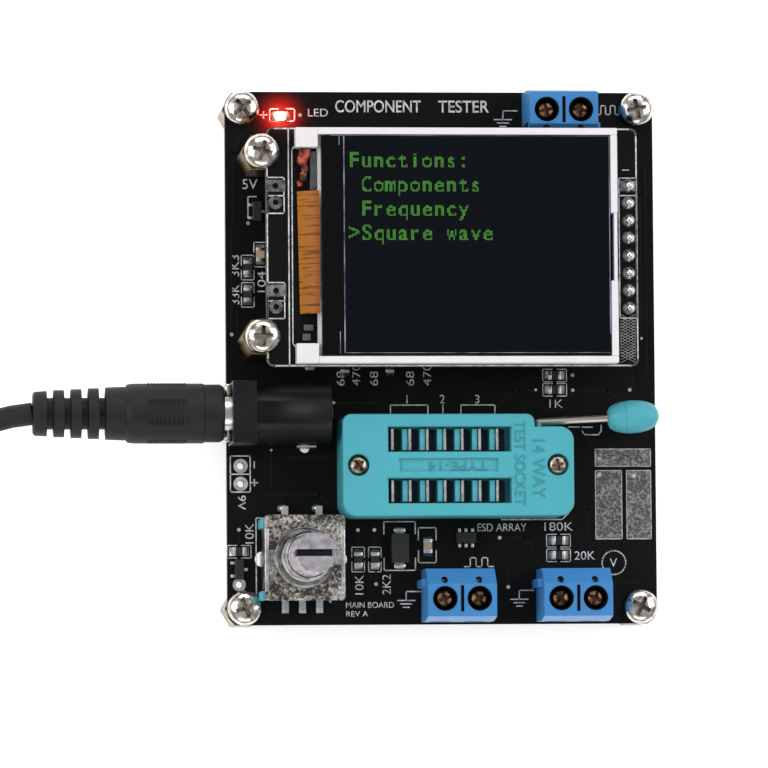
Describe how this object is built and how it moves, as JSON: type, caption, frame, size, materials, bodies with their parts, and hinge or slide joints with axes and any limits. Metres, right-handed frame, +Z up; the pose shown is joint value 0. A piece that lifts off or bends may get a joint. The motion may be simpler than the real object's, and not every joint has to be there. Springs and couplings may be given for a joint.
{
  "type": "component tester",
  "caption": "Bench component tester: stacked circuit boards with a colour display, lever test socket, screw terminals, rotary knob shaft, power jack and a battery lead.",
  "frame": {"origin": "middle of the pattern of the four leg holes, on the plane of the legs' feet", "axes": "+Z up, away from the bench; +Y from the test terminals' edge to the display's edge; +X to the right, away from the power jack"},
  "size_m": [0.1589, 0.078, 0.0381],
  "materials": {
    "solder_mask": "semi-gloss",
    "brass": "satin",
    "nickel_plated_steel": "plated, bright",
    "white_plastic": "matte",
    "display_glass": "polished",
    "polariser_film": "smooth",
    "orange_film": "smooth",
    "black_nylon": "moulded",
    "gold_plate": "plated",
    "epoxy": "moulded",
    "ceramic": "sintered",
    "tinned_metal": "tinned",
    "led_lens": "clear, lit",
    "teal_plastic": "moulded, semi-gloss",
    "screw_steel": "turned, plated",
    "bright_steel": "stamped, bright",
    "wire_steel": "drawn",
    "blue_plastic": "moulded, semi-gloss",
    "zinc": "die-cast",
    "cut_aluminium": "turned",
    "pale_nylon": "moulded",
    "soft_black_vinyl": "moulded, soft"
  },
  "bodies": {
    "tester": {"main_board": "solder_mask", "legs": "brass", "corner_screws": "nickel_plated_steel", "display_posts": "brass", "display_screws": "nickel_plated_steel", "display_board": "solder_mask", "display_frame": "white_plastic", "display_light_guide": "white_plastic", "display_glass": "display_glass", "display_polariser": "polariser_film", "display_flex": "orange_film", "header_strip": "black_nylon", "header_pins": "gold_plate", "header_socket": "black_nylon", "microcontroller": "epoxy", "crystal": "tinned_metal", "small_packages": "epoxy", "chip_resistors": "epoxy", "chip_capacitors": "ceramic", "component_leads": "tinned_metal", "diode": "epoxy", "status_led": "led_lens", "probe_pads": "tinned_metal", "solder_joints": "tinned_metal", "socket_base": "teal_plastic", "socket_cover": "teal_plastic", "socket_contacts": "tinned_metal", "socket_screws": "screw_steel", "terminal_housings": "blue_plastic", "terminal_pins": "tinned_metal", "jack_housing": "black_nylon", "jack_contacts": "tinned_metal", "encoder_base": "teal_plastic", "encoder_frame": "bright_steel", "encoder_bushing": "zinc", "plug_grip": "soft_black_vinyl", "plug_barrel": "bright_steel", "lead_run": "soft_black_vinyl", "lead_coil": "soft_black_vinyl", "coil_tie": "soft_black_vinyl", "snap_body": "soft_black_vinyl", "snap_studs": "bright_steel"},
    "socket_lever": {"socket_lever": "wire_steel", "lever_knob": "teal_plastic"},
    "socket_slider": {"socket_slider": "teal_plastic"},
    "encoder_rotor": {"encoder_rotor": "pale_nylon"},
    "encoder_shaft": {"encoder_shaft": "cut_aluminium"},
    "encoder_button": {"encoder_button": "pale_nylon"},
    "terminal_screw_1": {"terminal_screw_1": "screw_steel"},
    "terminal_clamp_1": {"terminal_clamp_1": "bright_steel"},
    "terminal_screw_2": {"terminal_screw_2": "screw_steel"},
    "terminal_clamp_2": {"terminal_clamp_2": "bright_steel"},
    "terminal_screw_3": {"terminal_screw_3": "screw_steel"},
    "terminal_clamp_3": {"terminal_clamp_3": "bright_steel"},
    "terminal_screw_4": {"terminal_screw_4": "screw_steel"},
    "terminal_clamp_4": {"terminal_clamp_4": "bright_steel"},
    "terminal_screw_5": {"terminal_screw_5": "screw_steel"},
    "terminal_clamp_5": {"terminal_clamp_5": "bright_steel"},
    "terminal_screw_6": {"terminal_screw_6": "screw_steel"},
    "terminal_clamp_6": {"terminal_clamp_6": "bright_steel"}
  },
  "joints": [
    {"name": "encoder_turn", "type": "hinge", "parent": "tester", "child": "encoder_rotor", "pos_m": [-0.0207, -0.0294, 0.0116], "axis": [0, 0, 1], "continuous": true},
    {"name": "encoder_press", "type": "slide", "parent": "encoder_rotor", "child": "encoder_shaft", "axis": [0, 0, -1], "range_m": [0, 0.0005], "stiffness_N_per_m": 4000},
    {"name": "encoder_button_travel", "type": "slide", "parent": "tester", "child": "encoder_button", "axis": [0, 0, -1], "range_m": [0, 0.0005]},
    {"name": "lever_lift", "type": "hinge", "parent": "tester", "child": "socket_lever", "pos_m": [0.0136, -0.0098, 0.0178], "axis": [0, -1, 0], "range_deg": [0, 90]},
    {"name": "slider_travel", "type": "slide", "parent": "tester", "child": "socket_slider", "axis": [-1, 0, 0], "range_m": [0, 0.0008]},
    {"name": "terminal_screw_1_turn", "type": "hinge", "parent": "tester", "child": "terminal_screw_1", "pos_m": [-0.0007, -0.0355, 0.0116], "axis": [0, 0, 1], "range_deg": [-1200, 0]},
    {"name": "terminal_clamp_1_rise", "type": "slide", "parent": "tester", "child": "terminal_clamp_1", "axis": [0, 0, 1], "range_m": [0, 0.0015]},
    {"name": "terminal_screw_2_turn", "type": "hinge", "parent": "tester", "child": "terminal_screw_2", "pos_m": [0.0043, -0.0355, 0.0116], "axis": [0, 0, 1], "range_deg": [-1200, 0]},
    {"name": "terminal_clamp_2_rise", "type": "slide", "parent": "tester", "child": "terminal_clamp_2", "axis": [0, 0, 1], "range_m": [0, 0.0015]},
    {"name": "terminal_screw_3_turn", "type": "hinge", "parent": "tester", "child": "terminal_screw_3", "pos_m": [0.0162, -0.0355, 0.0116], "axis": [0, 0, 1], "range_deg": [-1200, 0]},
    {"name": "terminal_clamp_3_rise", "type": "slide", "parent": "tester", "child": "terminal_clamp_3", "axis": [0, 0, 1], "range_m": [0, 0.0015]},
    {"name": "terminal_screw_4_turn", "type": "hinge", "parent": "tester", "child": "terminal_screw_4", "pos_m": [0.0212, -0.0355, 0.0116], "axis": [0, 0, 1], "range_deg": [-1200, 0]},
    {"name": "terminal_clamp_4_rise", "type": "slide", "parent": "tester", "child": "terminal_clamp_4", "axis": [0, 0, 1], "range_m": [0, 0.0015]},
    {"name": "terminal_screw_5_turn", "type": "hinge", "parent": "tester", "child": "terminal_screw_5", "pos_m": [0.0197, 0.0355, 0.0116], "axis": [0, 0, 1], "range_deg": [-1200, 0]},
    {"name": "terminal_clamp_5_rise", "type": "slide", "parent": "tester", "child": "terminal_clamp_5", "axis": [0, 0, 1], "range_m": [0, 0.0015]},
    {"name": "terminal_screw_6_turn", "type": "hinge", "parent": "tester", "child": "terminal_screw_6", "pos_m": [0.0147, 0.0355, 0.0116], "axis": [0, 0, 1], "range_deg": [-1200, 0]},
    {"name": "terminal_clamp_6_rise", "type": "slide", "parent": "tester", "child": "terminal_clamp_6", "axis": [0, 0, 1], "range_m": [0, 0.0015]}
  ],
  "couplings": [
    {"joint": "encoder_button_travel", "follows": "encoder_press", "ratio": 1},
    {"joint": "slider_travel", "follows": "lever_lift", "m_per_rad": 0.000509},
    {"joint": "terminal_screw_1_turn", "follows": "terminal_clamp_1_rise", "rad_per_m": -13963},
    {"joint": "terminal_screw_2_turn", "follows": "terminal_clamp_2_rise", "rad_per_m": -13963},
    {"joint": "terminal_screw_3_turn", "follows": "terminal_clamp_3_rise", "rad_per_m": -13963},
    {"joint": "terminal_screw_4_turn", "follows": "terminal_clamp_4_rise", "rad_per_m": -13963},
    {"joint": "terminal_screw_5_turn", "follows": "terminal_clamp_5_rise", "rad_per_m": -13963},
    {"joint": "terminal_screw_6_turn", "follows": "terminal_clamp_6_rise", "rad_per_m": -13963}
  ]
}
